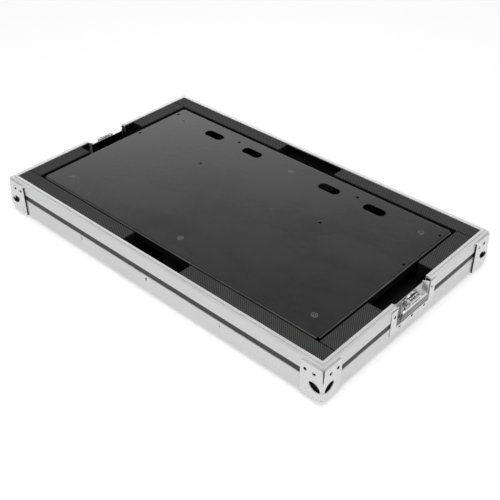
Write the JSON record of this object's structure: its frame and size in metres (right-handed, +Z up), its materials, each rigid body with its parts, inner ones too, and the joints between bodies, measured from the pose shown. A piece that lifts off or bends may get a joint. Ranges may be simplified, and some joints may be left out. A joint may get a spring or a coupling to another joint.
{
  "type": "guitar pedal case",
  "caption": "Shallow flight-case base with ball corners, a foam surround, a lift-out pedal plate and two recessed turn latches.",
  "frame": {"origin": "centre of the footprint, on the floor under the corner balls", "axes": "+X along the case's long side, +Y from front to back, +Z up"},
  "size_m": [0.7286, 0.4416, 0.074],
  "materials": {
    "laminate": "dark laminate on plywood",
    "aluminium_profile": "satin extruded",
    "corner_steel": "zinc plated, satin",
    "rivet_steel": "zinc plated",
    "foam": "dark grey closed-cell foam",
    "bearer_ply": "black-stained plywood",
    "latch_steel": "zinc plated",
    "black_coat": "satin black powder coat",
    "screw_black": "black plated"
  },
  "bodies": {
    "case_base": {"base_panel": "laminate", "front_panel": "laminate", "back_panel": "laminate", "left_panel": "laminate", "right_panel": "laminate", "front_rim": "aluminium_profile", "back_rim": "aluminium_profile", "left_rim_front": "aluminium_profile", "left_rim_back": "aluminium_profile", "right_rim_front": "aluminium_profile", "right_rim_back": "aluminium_profile", "front_angle": "aluminium_profile", "back_angle": "aluminium_profile", "left_angle": "aluminium_profile", "right_angle": "aluminium_profile", "front_left_corner": "corner_steel", "front_right_corner": "corner_steel", "back_left_corner": "corner_steel", "back_right_corner": "corner_steel", "corner_rivets": "rivet_steel", "angle_rivets": "rivet_steel", "latch_rivets": "rivet_steel", "floor_foam": "foam", "front_foam": "foam", "back_foam": "foam", "left_foam": "foam", "right_foam": "foam", "left_latch_dish": "latch_steel", "right_latch_dish": "latch_steel", "left_latch_pivot": "latch_steel", "right_latch_pivot": "latch_steel"},
    "pedal_board": {"pedal_plate": "black_coat", "left_bearer": "bearer_ply", "middle_bearer": "bearer_ply", "right_bearer": "bearer_ply", "plate_screws": "screw_black"},
    "left_cam": {"left_latch_cam": "latch_steel", "left_wing_pin": "latch_steel", "left_wing_spring": "latch_steel"},
    "left_wing": {"left_latch_wing": "latch_steel"},
    "left_hook": {"left_latch_hook": "latch_steel"},
    "right_cam": {"right_latch_cam": "latch_steel", "right_wing_pin": "latch_steel", "right_wing_spring": "latch_steel"},
    "right_wing": {"right_latch_wing": "latch_steel"},
    "right_hook": {"right_latch_hook": "latch_steel"}
  },
  "joints": [
    {"name": "plate_lift", "type": "slide", "parent": "case_base", "child": "pedal_board", "axis": [0, 0, 1], "range_m": [0, 0.12]},
    {"name": "left_latch_turn", "type": "hinge", "parent": "case_base", "child": "left_cam", "pos_m": [-0.3558, 0, 0.054], "axis": [-1, 0, 0], "range_deg": [0, 180]},
    {"name": "left_wing_fold", "type": "hinge", "parent": "left_cam", "child": "left_wing", "pos_m": [-0.3585, 0, 0.0635], "axis": [0, 1, 0], "range_deg": [0, 90]},
    {"name": "left_hook_lift", "type": "slide", "parent": "case_base", "child": "left_hook", "axis": [0, 0, 1], "range_m": [0, 0.01]},
    {"name": "right_latch_turn", "type": "hinge", "parent": "case_base", "child": "right_cam", "pos_m": [0.3558, 0, 0.054], "axis": [1, 0, 0], "range_deg": [0, 180]},
    {"name": "right_wing_fold", "type": "hinge", "parent": "right_cam", "child": "right_wing", "pos_m": [0.3585, 0, 0.0635], "axis": [0, -1, 0], "range_deg": [0, 90]},
    {"name": "right_hook_lift", "type": "slide", "parent": "case_base", "child": "right_hook", "axis": [0, 0, 1], "range_m": [0, 0.01]}
  ],
  "couplings": [
    {"joint": "left_hook_lift", "follows": "left_latch_turn", "m_per_rad": 0.0031831},
    {"joint": "right_hook_lift", "follows": "right_latch_turn", "m_per_rad": 0.0031831}
  ]
}
